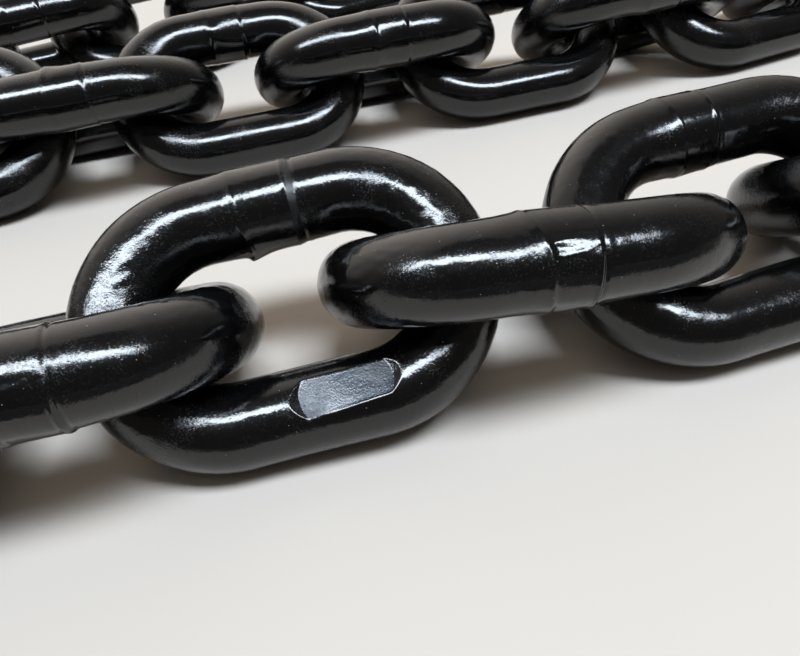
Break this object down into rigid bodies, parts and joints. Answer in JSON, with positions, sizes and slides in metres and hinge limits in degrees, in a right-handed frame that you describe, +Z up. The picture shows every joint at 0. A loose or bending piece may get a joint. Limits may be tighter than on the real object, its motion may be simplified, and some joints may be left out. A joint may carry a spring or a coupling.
{
  "type": "lifting chain",
  "caption": "Length of welded short-link lifting chain in glossy black lacquered steel, laid on a floor in rows that turn back on themselves.",
  "frame": {"origin": "on the floor, under the middle of the heap's bounding box", "axes": "+X along the rows, from the front row's free end towards the right loop; +Y from the front row to the back row; +Z up"},
  "size_m": [0.7304, 0.3184, 0.0483],
  "materials": {
    "black_lacquer": "glossy black lacquer over forged and welded steel"
  },
  "bodies": {
    "root": {"link_01": "black_lacquer", "link_02": "black_lacquer", "link_03": "black_lacquer", "link_04": "black_lacquer", "link_05": "black_lacquer", "link_06": "black_lacquer", "link_07": "black_lacquer", "link_08": "black_lacquer", "link_09": "black_lacquer", "link_10": "black_lacquer", "link_11": "black_lacquer", "link_12": "black_lacquer", "link_13": "black_lacquer", "link_14": "black_lacquer", "link_15": "black_lacquer", "link_16": "black_lacquer", "link_17": "black_lacquer", "link_18": "black_lacquer", "link_19": "black_lacquer", "link_20": "black_lacquer", "link_21": "black_lacquer", "link_22": "black_lacquer", "link_23": "black_lacquer", "link_24": "black_lacquer", "link_25": "black_lacquer", "link_26": "black_lacquer", "link_27": "black_lacquer", "link_28": "black_lacquer", "link_29": "black_lacquer", "link_30": "black_lacquer", "link_31": "black_lacquer", "link_32": "black_lacquer", "link_33": "black_lacquer", "link_34": "black_lacquer", "link_35": "black_lacquer", "link_36": "black_lacquer", "link_37": "black_lacquer", "link_38": "black_lacquer", "link_39": "black_lacquer", "link_40": "black_lacquer", "link_41": "black_lacquer"}
  },
  "joints": []
}
